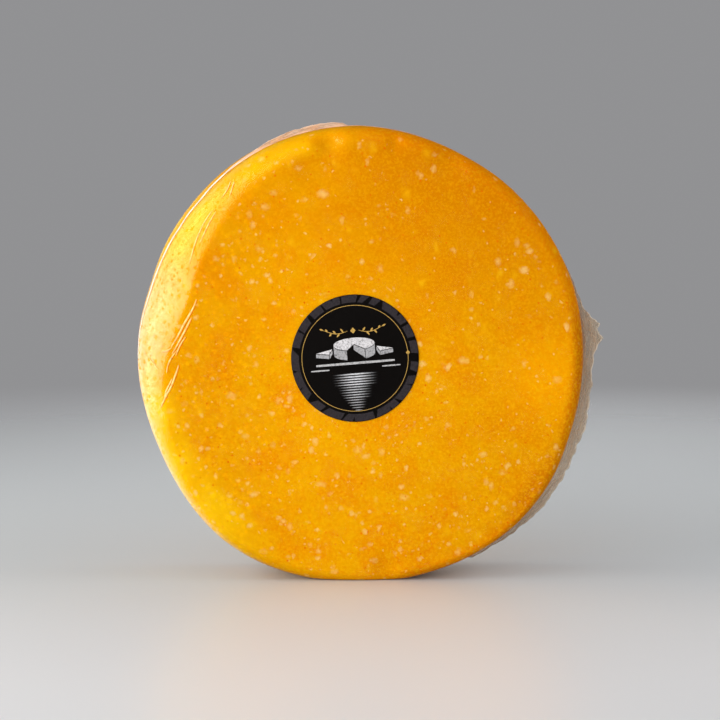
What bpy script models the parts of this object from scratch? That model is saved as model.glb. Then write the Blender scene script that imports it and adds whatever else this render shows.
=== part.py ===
"""A whole wheel of orange cheddar in a tight clear film, standing on its rim, with a round label.

Metres, +Z up. The wheel's axis runs along Y and its front looks along -Y. The origin is the
middle of the flat spot that the wheel stands on. Angles round the rim are in degrees,
anticlockwise from +X as seen from the front.
"""

import math

import bmesh
import bpy

# The wheel of cheese, out to the film that lies skin-tight on it
WHEEL_RADIUS = 0.1225
WHEEL_THICKNESS = 0.060
CENTRE_HEIGHT = 0.125  # of the wheel's middle over the floor
RIM_STEPS = 120  # stations round the rim
CORNER_STEPS = 6  # rows across each rounded edge
SIDE_STEPS = 3  # rows before the film's fringe, from there to the step's end, and behind that
FACE_RINGS = (0.86, 0.6, 0.3)  # of the flat face's radius
SIDE_BULGE = 0.0008  # of the side's middle over its edges

# How the outline strays from a circle: angle, spread and height of each swell
RIM_SWELLS = (
    (110, 25, 0.0035),  # the top left stands proud
    (238, 16, 0.0050),  # the weight pushes the rim out on both sides of the foot
    (312, 18, 0.0052),
    (271, 18, 0.0037),  # and between them
    (162, 6, -0.0010),  # a hollow beside the slumped edge
    (183, 9, 0.0012),  # and a slight swell below it
    (63, 7, -0.0006),  # a slight flat at the upper right
)
FOOT_BLEND = 0.0005  # height over which the foot's flat turns into the rim

# The rounded edges: how far each reaches in over the face, and how far along the side.
# A roundness of 2 is a quarter of an ellipse, and 1 a straight bevel
EDGE_REACH = 0.0075
EDGE_DEPTH = 0.0085
EDGE_ROUNDNESS = 2.0
SLUMP = (164, 23, 0.0130, 0.0165)  # a slumped front edge at the left: angle, spread, more of both
SLUMP_ROUNDNESS = 1.4
SHOULDERS = (  # where the front edge is softer or crisper, in the same terms
    SLUMP,
    (122, 15, 0.0065, 0.0050),
    (-52, 20, -0.0036, -0.0030),
)
FRONT_STEP = 0.0036  # at the upper left the front half lies this far inside the back half
FRONT_STEP_ANGLE = 140
FRONT_STEP_SPREAD = 25
FRONT_STEP_ENDS = 0.55  # of the thickness
FRONT_STEP_LENGTH = 0.13

# Dents pressed into the front: angle, distance from the middle, spread, depth
DENTS = (
    (98.5, 0.1170, 0.0048, 0.0017),
    (103.0, 0.1040, 0.0080, 0.0009),
    (81.0, 0.1180, 0.0030, 0.0010),
    (66.0, 0.1195, 0.0065, 0.0016),
    (277.0, 0.1190, 0.0050, 0.0014),
)

# The film's welded edge, a thin wavy fin round the rim
FRINGE_THICKNESS = 0.0008
FRINGE_DEPTH = 0.0276  # behind the front face
FRINGE_GAP = 0.0005  # to the cheese
FRINGE_START = -60
FRINGE_END = 216
FRINGE_WIDTH = 0.0010
FRINGE_SWELLS = (  # where the fin is wider: angle, spread, extra width
    (-22, 24, 0.0085),
    (4, 3.5, 0.0083),
    (105, 15, 0.0018),
)
FRINGE_WAVES = 26  # wrinkles in a full turn
FRINGE_WAVE_HEIGHT = 0.0010

# The label
LABEL_RADIUS = 0.035
LABEL_THICKNESS = 0.0005
LABEL_GAP = 0.0003
LABEL_OFFSET = (-0.0035, -0.0015)  # from the wheel's middle, along X and Z
LABEL_TURN = 4.5  # degrees anticlockwise
LABEL_SIDES = 96

CHEESE_COLOUR = (0.85, 0.32, 0.004, 1)
FILM_COLOUR = (0.62, 0.52, 0.42, 1)
LABEL_COLOUR = (0.008, 0.006, 0.006, 1)

FRONT_Y = -WHEEL_THICKNESS / 2


def clear_scene():
    """Starts from an empty scene."""
    for thing in list(bpy.data.objects):
        bpy.data.objects.remove(thing, do_unlink=True)


def finish(name, colour, roughness, alpha=1.0):
    """A Principled material."""
    material = bpy.data.materials.new(name)
    material.use_nodes = True
    shader = material.node_tree.nodes["Principled BSDF"]
    shader.inputs["Base Color"].default_value = colour
    shader.inputs["Roughness"].default_value = roughness
    shader.inputs["Metallic"].default_value = 0.0
    shader.inputs["Alpha"].default_value = alpha
    return material


def add_object(name, mesh_builder, material):
    """Turns a finished bmesh into a named object with smooth sides and sharp corners."""
    bmesh.ops.recalc_face_normals(mesh_builder, faces=mesh_builder.faces)
    mesh = bpy.data.meshes.new(name)
    mesh_builder.to_mesh(mesh)
    mesh_builder.free()
    mesh.shade_smooth()
    mesh.set_sharp_from_angle(angle=math.radians(50))
    mesh.materials.append(material)
    thing = bpy.data.objects.new(name, mesh)
    bpy.context.collection.objects.link(thing)
    return thing


def bump(angle, at, spread):
    """A bell-shaped swell round the rim, 1 at its angle."""
    away = (angle - at + 180) % 360 - 180
    return math.exp(-0.5 * (away / spread) ** 2)


def smooth_step(share):
    """0 to 1 with soft ends."""
    share = min(max(share, 0.0), 1.0)
    return share * share * (3 - 2 * share)


def rim_radius(angle):
    """The wheel's radius where its side is highest, before the foot is flattened."""
    radius = WHEEL_RADIUS
    for at, spread, height in RIM_SWELLS:
        radius += height * bump(angle, at, spread)
    return radius


def side_rise(angle, depth):
    """How far the side stands out at this depth behind the front face."""
    share = depth / WHEEL_THICKNESS
    bulge = SIDE_BULGE * 4 * share * (1 - share)
    towards = bump(angle, FRONT_STEP_ANGLE, FRONT_STEP_SPREAD)
    before_step = smooth_step((FRONT_STEP_ENDS - share) / FRONT_STEP_LENGTH)
    return bulge - FRONT_STEP * towards * before_step


def corner(reach, depth, roundness, share):
    """(inset, depth) on a rounded edge: share 0 is at the flat face, and 1 at the side."""
    turn = math.radians(90 * share)
    power = 2 / roundness
    return reach * (1 - math.sin(turn) ** power), depth * (1 - math.cos(turn) ** power)


def section(angle):
    """(inset from the rim, depth behind the front face) along the side, front to back."""
    front_reach = EDGE_REACH
    front_depth = EDGE_DEPTH
    for at, spread, reach, depth in SHOULDERS:
        front_reach += reach * bump(angle, at, spread)
        front_depth += depth * bump(angle, at, spread)
    roundness = EDGE_ROUNDNESS + (SLUMP_ROUNDNESS - EDGE_ROUNDNESS) * bump(angle, SLUMP[0], SLUMP[1])
    points = []
    for step in range(CORNER_STEPS):
        points.append(corner(front_reach, front_depth, roundness, step / CORNER_STEPS))
    back_edge = WHEEL_THICKNESS - EDGE_DEPTH
    stops = (front_depth, FRINGE_DEPTH, WHEEL_THICKNESS * FRONT_STEP_ENDS, back_edge)
    for start, end in zip(stops, stops[1:]):
        for step in range(SIDE_STEPS):
            points.append((0.0, start + (end - start) * step / SIDE_STEPS))
    points.append((0.0, back_edge))
    for step in reversed(range(CORNER_STEPS)):
        inset, depth = corner(EDGE_REACH, EDGE_DEPTH, EDGE_ROUNDNESS, step / CORNER_STEPS)
        points.append((inset, WHEEL_THICKNESS - depth))
    return points


def on_floor(height):
    """Flattens what would reach below the floor."""
    if height < -FOOT_BLEND:
        return 0.0
    if height < FOOT_BLEND:
        return (height + FOOT_BLEND) ** 2 / (4 * FOOT_BLEND)
    return height


def dent_depth(x, z):
    """How far the front is pressed in at this point of it."""
    pressed = 0.0
    for angle, distance, spread, depth in DENTS:
        dent_x = distance * math.cos(math.radians(angle))
        dent_z = CENTRE_HEIGHT + distance * math.sin(math.radians(angle))
        away = math.hypot(x - dent_x, z - dent_z)
        pressed += depth * math.exp(-0.5 * (away / spread) ** 2)
    return pressed


def wheel_point(angle, radius, depth):
    """A point of the wheel. Dents fade out towards its back."""
    x = radius * math.cos(math.radians(angle))
    z = on_floor(CENTRE_HEIGHT + radius * math.sin(math.radians(angle)))
    fade = 1 - smooth_step(depth / (WHEEL_THICKNESS / 2))
    return (x, FRONT_Y + depth + dent_depth(x, z) * fade, z)


def wheel_station(angle):
    """The points of one section, from the front face's innermost ring to the back face's."""
    rim = rim_radius(angle)
    sides = section(angle)
    front_edge = rim - sides[0][0]
    back_edge = rim - sides[-1][0]
    points = [wheel_point(angle, front_edge * ring, 0.0) for ring in reversed(FACE_RINGS)]
    for inset, depth in sides:
        points.append(wheel_point(angle, rim - inset + side_rise(angle, depth), depth))
    points += [wheel_point(angle, back_edge * ring, WHEEL_THICKNESS) for ring in FACE_RINGS]
    return points


def build_cheese():
    """The wheel: rings of points round its axis, closed by a fan on each face."""
    builder = bmesh.new()
    stations = []
    for step in range(RIM_STEPS):
        points = wheel_station(360 * step / RIM_STEPS)
        stations.append([builder.verts.new(point) for point in points])
    for step, station in enumerate(stations):
        following = stations[(step + 1) % RIM_STEPS]
        for row in range(len(station) - 1):
            builder.faces.new((station[row], following[row], following[row + 1], station[row + 1]))
    for row, depth in ((0, 0.0), (-1, WHEEL_THICKNESS)):
        middle = builder.verts.new((0.0, FRONT_Y + depth, CENTRE_HEIGHT))
        for step, station in enumerate(stations):
            builder.faces.new((station[row], stations[(step + 1) % RIM_STEPS][row], middle))
    return add_object("cheese", builder, finish("cheese", CHEESE_COLOUR, 0.35))


def fringe_width(angle):
    """How far the fin stands off the rim. It tapers to its two ends."""
    width = FRINGE_WIDTH
    for at, spread, extra in FRINGE_SWELLS:
        width += extra * bump(angle, at, spread)
    return width


def fringe_station(angle):
    """The four corners of the fin's section: inner front, outer front, outer back, inner back."""
    half = FRINGE_THICKNESS / 2
    wave = FRINGE_WAVE_HEIGHT * math.sin(math.radians(FRINGE_WAVES * angle))
    corners = []
    for side, outer in ((-1, False), (-1, True), (1, True), (1, False)):
        depth = FRINGE_DEPTH + side * half
        radius = rim_radius(angle) + side_rise(angle, depth) + FRINGE_GAP
        if outer:
            radius += fringe_width(angle)
            depth += wave
        x = radius * math.cos(math.radians(angle))
        z = CENTRE_HEIGHT + radius * math.sin(math.radians(angle))
        corners.append((x, FRONT_Y + depth, z))
    return corners


def build_fringe():
    """The film's edge: a four-sided section led round the rim, with its two ends closed."""
    builder = bmesh.new()
    spacing = 360 / RIM_STEPS
    count = round((FRINGE_END - FRINGE_START) / spacing)
    stations = []
    for step in range(count + 1):
        points = fringe_station(FRINGE_START + spacing * step)
        stations.append([builder.verts.new(point) for point in points])
    for station, following in zip(stations, stations[1:]):
        for corner in range(4):
            beside = (corner + 1) % 4
            builder.faces.new((station[corner], station[beside], following[beside], following[corner]))
    builder.faces.new(stations[0])
    builder.faces.new(stations[-1])
    return add_object("film_fringe", builder, finish("film", FILM_COLOUR, 0.25, alpha=0.5))


def build_label():
    """The round label, a thin disc on the front face."""
    builder = bmesh.new()
    bmesh.ops.create_cone(
        builder,
        cap_ends=True,
        segments=LABEL_SIDES,
        radius1=LABEL_RADIUS,
        radius2=LABEL_RADIUS,
        depth=LABEL_THICKNESS,
    )
    label = add_object("label", builder, finish("label", LABEL_COLOUR, 0.4))
    middle_y = FRONT_Y - LABEL_GAP - LABEL_THICKNESS / 2
    label.location = (LABEL_OFFSET[0], middle_y, CENTRE_HEIGHT + LABEL_OFFSET[1])
    label.rotation_euler = (math.radians(90), math.radians(-LABEL_TURN), 0)
    return label


clear_scene()
build_cheese()
build_fringe()
build_label()
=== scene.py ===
"""Looks of a whole cheese wheel in tight clear film, with a round label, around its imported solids.

Metres, +Z up. The wheel's axis runs along Y and its front looks along -Y. Angles round the rim
are in degrees, anticlockwise from +X as seen from the front.
"""

import math
import random

import bpy
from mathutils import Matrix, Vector, noise


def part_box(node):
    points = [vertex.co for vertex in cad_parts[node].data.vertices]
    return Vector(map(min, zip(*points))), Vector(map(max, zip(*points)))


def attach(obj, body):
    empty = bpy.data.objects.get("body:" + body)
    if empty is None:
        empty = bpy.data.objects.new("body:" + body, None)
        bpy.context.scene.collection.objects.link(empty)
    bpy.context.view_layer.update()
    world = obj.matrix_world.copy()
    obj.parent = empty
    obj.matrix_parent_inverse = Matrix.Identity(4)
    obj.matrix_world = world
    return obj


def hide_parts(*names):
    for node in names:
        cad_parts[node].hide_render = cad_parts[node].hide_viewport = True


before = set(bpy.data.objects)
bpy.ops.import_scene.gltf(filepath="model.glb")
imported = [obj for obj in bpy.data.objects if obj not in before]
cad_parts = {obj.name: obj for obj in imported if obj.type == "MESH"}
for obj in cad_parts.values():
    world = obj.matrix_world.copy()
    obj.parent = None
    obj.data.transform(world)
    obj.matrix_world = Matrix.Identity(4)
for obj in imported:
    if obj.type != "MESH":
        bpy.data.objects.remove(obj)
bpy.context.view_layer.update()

# ---------------------------------------------------------------- sizes

CHEESE_LOW, CHEESE_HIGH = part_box("cheese")
LABEL_LOW, LABEL_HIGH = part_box("label")

THICKNESS = CHEESE_HIGH.y - CHEESE_LOW.y
FRONT_Y = CHEESE_LOW.y
CENTRE_HEIGHT = 0.125  # of the wheel's axis over the floor
WHEEL_RADIUS = 0.1225
SIDE_BULGE = 0.0008  # how much fuller the side is halfway back

# How the outline strays from a circle: angle, spread and height of each swell
RIM_SWELLS = (
    (110, 25, 0.0035),  # the top left stands proud
    (238, 16, 0.0050),  # the weight pushes the rim out on both sides of the foot
    (312, 18, 0.0052),
    (271, 18, 0.0037),  # and between them
    (162, 6, -0.0010),  # a hollow beside the slumped edge
    (183, 9, 0.0012),  # and a slight swell below it
    (63, 7, -0.0006),  # a slight flat at the upper right
)
FOOT_BLEND = 0.0005  # how softly the rim runs into its flat foot

# The rounded edges. A roundness of 2 is a quarter of an ellipse, and 1 a straight bevel
EDGE_REACH = 0.0075
EDGE_DEPTH = 0.0085
EDGE_ROUNDNESS = 2.0
SLUMP = (164, 23, 0.0130, 0.0165)  # a slumped front edge at the left: angle, spread, more of both
SLUMP_ROUNDNESS = 1.4
SHOULDERS = (  # where the front edge is softer or crisper, in the same terms
    SLUMP,
    (122, 15, 0.0065, 0.0050),
    (-52, 20, -0.0036, -0.0030),
)
FRONT_STEP = 0.0036  # at the upper left the front half lies this far inside the back half
FRONT_STEP_ANGLE = 140
FRONT_STEP_SPREAD = 25
FRONT_STEP_ENDS = 0.55  # where it ends and how long it is, of the thickness
FRONT_STEP_LENGTH = 0.13

# Dents pressed into the front, and one low rise: angle, distance from the middle, spread, depth
DENTS = (
    (98.5, 0.1170, 0.0048, 0.0024),
    (94.0, 0.1170, 0.0040, -0.0007),
    (103.0, 0.1040, 0.0080, 0.0009),
    (81.0, 0.1180, 0.0030, 0.0014),
    (66.0, 0.1195, 0.0065, 0.0021),
    (277.0, 0.1190, 0.0050, 0.0014),
)

# Unevenness of the whole surface: size of the swells, height
SWELLS = (
    (0.060, 0.00055),
    (0.022, 0.00022),
    (0.008, 0.00006),
)

FILM_OVER_CHEESE = 0.00025
SEAM_SHARE = 0.46  # the seam's depth, of the thickness
SEAM_WAVER = ((0.045, 0.0016), (0.012, 0.0005))  # how it wanders: size of the swings, depth
FIN_THICKNESS = 0.00022
FIN_WIDTHS = (  # how far the welded edge stands off, round from the foot: angle, width
    (-82, 0.0002),
    (-66, 0.0012),
    (-63, 0.0030),
    (-61.5, 0.0050),
    (-58, 0.0048),
    (-52, 0.0057),
    (-41, 0.0072),
    (-28, 0.0085),
    (-18, 0.0096),
    (-12, 0.0084),
    (-4, 0.0074),
    (-1.5, 0.0080),
    (1, 0.0094),
    (2.8, 0.0110),
    (6.2, 0.0112),
    (7.2, 0.0096),
    (8.5, 0.0066),
    (12, 0.0032),
    (17, 0.0022),
    (26, 0.0009),
    (36, 0.0002),
    (93, 0.0002),
    (94.6, 0.0020),
    (97, 0.0028),
    (101, 0.0032),
    (110, 0.0028),
    (121, 0.0012),
    (130, 0.0006),
    (160, 0.0006),
    (178, 0.0003),
    (225, 0.0002),
    (278, 0.0002),
)
FIN_SPIKES = ((3.2, 0.0020), (6.3, 0.0013), (0.6, 0.0006))  # torn tips: angle, height
SPIKE_REACH = 0.75  # degrees to each side of a tip
RAGGED = 0.94  # the widths are scaled by this and by noise: size of its swings, strength
RAGGED_COARSE = (0.011, 0.22)
RAGGED_FINE = (0.0028, 0.10)
PUCKERS = (0.0060, 0.0011, 1.0, 1.2)  # its sway: size of the swings, depth, stretch along and out
PLEATS = (0.0014, 0.0004, 0.3, 1.5)
SWAY_FULL_AT = 0.003  # metres off the seam
BEAD_FROM = 110  # where the weld is rolled into a bead, down the left
BEAD_TO = 190
BEAD_FADE = 24
BEAD_HALF = 0.00027
BEAD_TAPER = 0.9

LABEL_RADIUS = (LABEL_HIGH.x - LABEL_LOW.x) / 2
LABEL_X = (LABEL_HIGH.x + LABEL_LOW.x) / 2
LABEL_Z = (LABEL_HIGH.z + LABEL_LOW.z) / 2
LABEL_THICKNESS = 0.00018
LABEL_OVER_FILM = 0.00022
LABEL_TURN = 4.5  # degrees anticlockwise
MM = 0.001


# ---------------------------------------------------------------- the wheel's shape


def bump(angle, at, spread):
    """A bell-shaped swell round the rim, 1 at its angle."""
    away = (angle - at + 180) % 360 - 180
    return math.exp(-0.5 * (away / spread) ** 2)


def smooth_step(share):
    """0 to 1 with soft ends."""
    share = min(max(share, 0.0), 1.0)
    return share * share * (3 - 2 * share)


def rim_radius(angle):
    """The wheel's radius where its side is highest, before the foot is flattened."""
    radius = WHEEL_RADIUS
    for at, spread_over, height in RIM_SWELLS:
        radius += height * bump(angle, at, spread_over)
    return radius


def side_rise(angle, depth):
    """How far the side stands out at this depth behind the front face."""
    share = depth / THICKNESS
    bulge = SIDE_BULGE * 4 * share * (1 - share)
    towards = bump(angle, FRONT_STEP_ANGLE, FRONT_STEP_SPREAD)
    before_step = smooth_step((FRONT_STEP_ENDS - share) / FRONT_STEP_LENGTH)
    return bulge - FRONT_STEP * towards * before_step


def front_edge(angle):
    """(reach over the face, depth, roundness) of the front's rounded edge."""
    reach = EDGE_REACH
    depth = EDGE_DEPTH
    for at, spread_over, more_reach, more_depth in SHOULDERS:
        reach += more_reach * bump(angle, at, spread_over)
        depth += more_depth * bump(angle, at, spread_over)
    slumped = bump(angle, SLUMP[0], SLUMP[1])
    return reach, depth, EDGE_ROUNDNESS + (SLUMP_ROUNDNESS - EDGE_ROUNDNESS) * slumped


def corner(reach, depth, roundness, share):
    """(inset, depth) on a rounded edge: share 0 is at the flat face, and 1 at the side."""
    turn = math.radians(90 * share)
    power = 2 / roundness
    return reach * (1 - math.sin(turn) ** power), depth * (1 - math.cos(turn) ** power)


def profile(angle, row):
    """(radius, depth) at a row of the section: 0 to 1 is the front face from its middle out, 1 to 2
    its rounded edge, 2 to 3 the side, 3 to 4 the back's rounded edge, and 4 to 5 the back face."""
    rim = rim_radius(angle)
    reach, front_depth, roundness = front_edge(angle)
    if row <= 1:
        return (rim - reach + side_rise(angle, 0)) * row, 0.0
    if row <= 2:
        inset, depth = corner(reach, front_depth, roundness, row - 1)
    elif row <= 3:
        inset = 0.0
        depth = front_depth + (THICKNESS - front_depth - EDGE_DEPTH) * (row - 2)
    elif row <= 4:
        inset, depth = corner(EDGE_REACH, EDGE_DEPTH, EDGE_ROUNDNESS, 4 - row)
        depth = THICKNESS - depth
    else:
        return (rim - EDGE_REACH + side_rise(angle, THICKNESS)) * (5 - row), THICKNESS
    return rim - inset + side_rise(angle, depth), depth


def around_rim(angle):
    """A place on a circle of the wheel's size, for noise that runs round the rim."""
    turn = math.radians(angle)
    return Vector((math.cos(turn), math.sin(turn), 0)) * WHEEL_RADIUS


def on_floor(height):
    """Flattens what would reach below the floor."""
    if height < -FOOT_BLEND:
        return 0.0
    if height < FOOT_BLEND:
        return (height + FOOT_BLEND) ** 2 / (4 * FOOT_BLEND)
    return height


def dent_place(angle, distance):
    """(x, height) of a dent's middle."""
    turn = math.radians(angle)
    return distance * math.cos(turn), CENTRE_HEIGHT + distance * math.sin(turn)


def dent_depth(x, z):
    """How far the front is pressed in at this point of it."""
    pressed = 0.0
    for angle, distance, spread_over, depth in DENTS:
        dent_x, dent_z = dent_place(angle, distance)
        away = math.hypot(x - dent_x, z - dent_z)
        pressed += depth * math.exp(-0.5 * (away / spread_over) ** 2)
    return pressed


def unevenness(point):
    """Height of the soft swells of the surface at a point."""
    return sum(height * noise.noise(point / size) for size, height in SWELLS)


def section_normal(angle, row):
    """The section's outward direction as (radial, backward)."""
    step = 0.02
    if row < 1 - step:
        return 0.0, -1.0
    if row > 4 + step:
        return 0.0, 1.0
    before = profile(angle, max(row - step, 0))
    after = profile(angle, min(row + step, 5))
    along = (after[0] - before[0], after[1] - before[1])
    length = math.hypot(*along)
    return along[1] / length, -along[0] / length


def skin(angle, row, lift=0.0):
    """A point of the wheel's skin, lifted off it along its normal."""
    radius, depth = profile(angle, row)
    out, back = section_normal(angle, row)
    turn = math.radians(angle)
    base = Vector((radius * math.cos(turn), FRONT_Y + depth, CENTRE_HEIGHT + radius * math.sin(turn)))
    fade = 1 - smooth_step(depth / (THICKNESS / 2))
    height = unevenness(base) + lift
    x = base.x + out * height * math.cos(turn)
    z = base.z + out * height * math.sin(turn)
    y = base.y + back * height + dent_depth(base.x, base.z) * fade
    rest = max(-lift, 0)
    return Vector((x, y, on_floor(z - rest) + rest))


def row_at(angle, radius):
    """The row of the front at this distance from the axis."""
    rim = rim_radius(angle)
    reach, depth, roundness = front_edge(angle)
    edge = rim - reach + side_rise(angle, 0)
    if radius <= edge:
        return radius / edge
    inset = min(max(rim + side_rise(angle, depth / 2) - radius, 0.0), reach)
    return 1 + math.degrees(math.asin((1 - inset / reach) ** (roundness / 2))) / 90


def front_place(x, z):
    """(angle, row) of the point of the front seen at x and z from the wheel's middle."""
    angle = math.degrees(math.atan2(z, x)) % 360
    return angle, row_at(angle, math.hypot(x, z))


# ---------------------------------------------------------------- mesh tools


def add_mesh(name, points, faces, materials, face_materials=None):
    """A smooth mesh object in the scene."""
    mesh = bpy.data.meshes.new(name)
    mesh.from_pydata([tuple(point) for point in points], [], faces)
    for material in materials:
        mesh.materials.append(material)
    if face_materials:
        mesh.polygons.foreach_set("material_index", face_materials)
    mesh.shade_smooth()
    mesh.update()
    thing = bpy.data.objects.new(name, mesh)
    bpy.context.collection.objects.link(thing)
    return thing


def spread(start, end, count):
    """count evenly spaced numbers after start, up to and with end."""
    return [start + (end - start) * (step + 1) / count for step in range(count)]


def ring_surface(name, rings, front_middle, back_middle, materials, ring_materials=None):
    """A closed surface from rings of points, each as long as the others, with a fan at each end."""
    around = len(rings[0])
    points = [point for ring in rings for point in ring]
    faces = []
    slots = []
    for index in range(len(rings) - 1):
        here, there = index * around, (index + 1) * around
        for step in range(around):
            beside = (step + 1) % around
            faces.append((here + step, there + step, there + beside, here + beside))
            slots.append(ring_materials[index] if ring_materials else 0)
    first, last = len(points), len(points) + 1
    points += [front_middle, back_middle]
    end = (len(rings) - 1) * around
    for step in range(around):
        beside = (step + 1) % around
        faces.append((first, step, beside))
        faces.append((last, end + beside, end + step))
        slots += [0, 0]
    return add_mesh(name, points, faces, materials, slots)


# ---------------------------------------------------------------- shader tools

SMALLEST_GRAIN = 0.45  # of the largest one's radius
FAINTEST_GRAIN = 0.35  # of the strongest one


def node(tree, kind, inputs=None, **settings):
    """A shader node. Its inputs are numbers, colours or the sockets that feed them."""
    made = tree.nodes.new(kind)
    for name, value in settings.items():
        setattr(made, name, value)
    for key, value in (inputs or {}).items():
        if isinstance(value, bpy.types.NodeSocket):
            tree.links.new(value, made.inputs[key])
        else:
            made.inputs[key].default_value = value
    return made


def maths(tree, operation, first, second=0.0, clamp=False):
    """The output of a Math node."""
    made = node(tree, "ShaderNodeMath", {0: first, 1: second}, operation=operation, use_clamp=clamp)
    return made.outputs[0]


def ramp(tree, value, low, high, to_low=0.0, to_high=1.0, soft=True):
    """value, mapped from low..high to to_low..to_high."""
    kind = "SMOOTHSTEP" if soft else "LINEAR"
    inputs = {"Value": value, "From Min": low, "From Max": high, "To Min": to_low, "To Max": to_high}
    return node(tree, "ShaderNodeMapRange", inputs, interpolation_type=kind, clamp=True).outputs[0]


def product(tree, *shares):
    """All the shares multiplied."""
    whole = shares[0]
    for share in shares[1:]:
        whole = maths(tree, "MULTIPLY", whole, share)
    return whole


def mix_colour(tree, share, first, second):
    """first, turning into second as share goes from 0 to 1."""
    made = node(tree, "ShaderNodeMix", data_type="RGBA")
    for socket, value in zip((made.inputs[0], made.inputs[6], made.inputs[7]), (share, first, second)):
        if isinstance(value, bpy.types.NodeSocket):
            tree.links.new(value, socket)
        else:
            socket.default_value = value
    return made.outputs[2]


def noise_value(tree, place, scale, detail=2.0, roughness=0.5):
    """Noise from about 0 to 1 at features of 1 / scale metres."""
    inputs = {"Vector": place, "Scale": scale, "Detail": detail, "Roughness": roughness}
    return node(tree, "ShaderNodeTexNoise", inputs).outputs["Fac"]


def object_place(tree):
    """Where a point is on its object, in metres."""
    return node(tree, "ShaderNodeTexCoord").outputs["Object"]


def warped(tree, place, scale, amount):
    """place, pushed about by noise."""
    inputs = {"Vector": place, "Scale": scale, "Detail": 2.0}
    push = node(tree, "ShaderNodeTexNoise", inputs).outputs["Color"]
    centred = node(tree, "ShaderNodeVectorMath", {0: push, 1: (0.5, 0.5, 0.5)}, operation="SUBTRACT")
    inputs = {0: centred.outputs[0], "Scale": amount}
    scaled = node(tree, "ShaderNodeVectorMath", inputs, operation="SCALE")
    moved = node(tree, "ShaderNodeVectorMath", {0: place, 1: scaled.outputs[0]}, operation="ADD")
    return moved.outputs[0]


def new_material(name):
    """An empty node material: (material, tree, output node)."""
    material = bpy.data.materials.new(name)
    material.use_nodes = True
    tree = material.node_tree
    tree.nodes.clear()
    return material, tree, tree.nodes.new("ShaderNodeOutputMaterial")


def distance_from(tree, place, x, height):
    """How far a place is from a point of the front plane."""
    inputs = {0: place, 1: (x, FRONT_Y, height)}
    return node(tree, "ShaderNodeVectorMath", inputs, operation="DISTANCE").outputs["Value"]


def parts_of(tree, place):
    """The three parts of a place: across, back and up."""
    return node(tree, "ShaderNodeSeparateXYZ", {0: place}).outputs


def relief(tree, height, strength, distance):
    """The normal of a surface with bumps."""
    inputs = {"Height": height, "Strength": strength, "Distance": distance}
    return node(tree, "ShaderNodeBump", inputs).outputs[0]


def principled(tree, colour, roughness, specular):
    """A plain surface."""
    inputs = {"Base Color": colour, "Roughness": roughness, "Specular IOR Level": specular}
    return node(tree, "ShaderNodeBsdfPrincipled", inputs)


def mix_shaders(tree, output, share, first, second):
    """Joins two shaders to the output: first, turning into second as share goes from 0 to 1."""
    mixed = node(tree, "ShaderNodeMixShader", {0: share, 1: first.outputs[0], 2: second.outputs[0]})
    tree.links.new(mixed.outputs[0], output.inputs[0])


def scattered(tree, place, stretch, cell, share, size, edge):
    """A mask of scattered grains in a lattice turned and stretched by stretch, one in a share of
    its cells: cell is their spacing in metres, size the largest grain's radius as a share of a
    cell, and edge how soft its border is."""
    turned = node(tree, "ShaderNodeMapping", {"Vector": place}, vector_type="POINT")
    turned.inputs["Rotation"].default_value = tuple(math.radians(value) for value in stretch[0])
    turned.inputs["Scale"].default_value = tuple(value / cell for value in stretch[1])
    inputs = {"Vector": turned.outputs[0], "Scale": 1.0, "Randomness": 1.0}
    cells = node(tree, "ShaderNodeTexVoronoi", inputs, voronoi_dimensions="3D", feature="F1")
    chance = node(tree, "ShaderNodeSeparateColor", {0: cells.outputs["Color"]})
    present = maths(tree, "LESS_THAN", chance.outputs[0], share)
    radius = ramp(tree, chance.outputs[1], 0.0, 1.0, size * SMALLEST_GRAIN, size, soft=False)
    inner = maths(tree, "MULTIPLY", radius, 1.0 - edge)
    grain = ramp(tree, cells.outputs["Distance"], radius, inner)
    strength = ramp(tree, chance.outputs[2], 0.0, 1.0, FAINTEST_GRAIN, 1.0, soft=False)
    return product(tree, grain, present, strength)


# ---------------------------------------------------------------- the cheese's material

ORANGE = (0.740, 0.343, 0.0004, 1)
DEEP_ORANGE = (0.710, 0.225, 0.0003, 1)  # clouds and mottles
SHADE_ORANGE = (0.560, 0.172, 0.0003, 1)  # painted shade: darker towards the top and the right, and beside the dents
SUNNY_ORANGE = (0.84, 0.340, 0.0004, 1)  # painted light: a brighter patch inside the rim at the right
SOFT_CURD = (0.80, 0.450, 0.005, 1)
CURD = (0.83, 0.58, 0.20, 1)
SPECK = (0.68, 0.125, 0.0005, 1)
# painted glints: tiny bright points
SPARKLE = (1, 0.85, 0.6, 1)
# painted shade on the rim at the right, deeper and redder than the face
RIM_SHADE_ORANGE = (0.71, 0.205, 0.0006, 1)
RIM_SHADE_BROWN = (0.44, 0.100, 0.002, 1)  # painted shade where the rim turns away from the light at the right
RIM_LIGHT_YELLOW = (0.87, 0.57, 0.003, 1)  # painted light on the rim at the left, where the light comes through it

# Noises are (features in a metre, detail, roughness), and surfaces (roughness, shine). Fades go
# from one place or value to another, and then, if it isn't 0 to 1, say from which share to which
CLOUDS = (38.0, 3.0, 0.55)
CLOUD_FADE = (0.40, 0.66, 0.0, 0.55)
MOTTLES = (330.0, 3.0, 0.6)
MOTTLE_FADE = (0.46, 0.68, 0.0, 0.40)
MOTTLES_UP = (0.10, 0.20, 1.0, 0.35)
# painted shade: how the shade orange grows across to the right and up to the top
SHADE_ACROSS = (-0.09, 0.11, -0.14, 0.28)
SHADE_UP = (0.10, 0.25, 0.0, 0.70)
SHADE_UP_ACROSS = (-0.050, 0.020, 0.62, 1.0)
SUNNY_PLACE = (0.104, 0.112)  # x and height
SUNNY_FADE = (0.042, 0.0, 0.0, 0.75)
DENT_SHADE = 230  # painted shade beside a dent: share of the shade orange, per metre of its depth
DENT_SHADE_LEFT = 0.9  # how far to the dent's left it lies, and how far it reaches, of its spread
DENT_SHADE_REACH = 2.0
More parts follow.
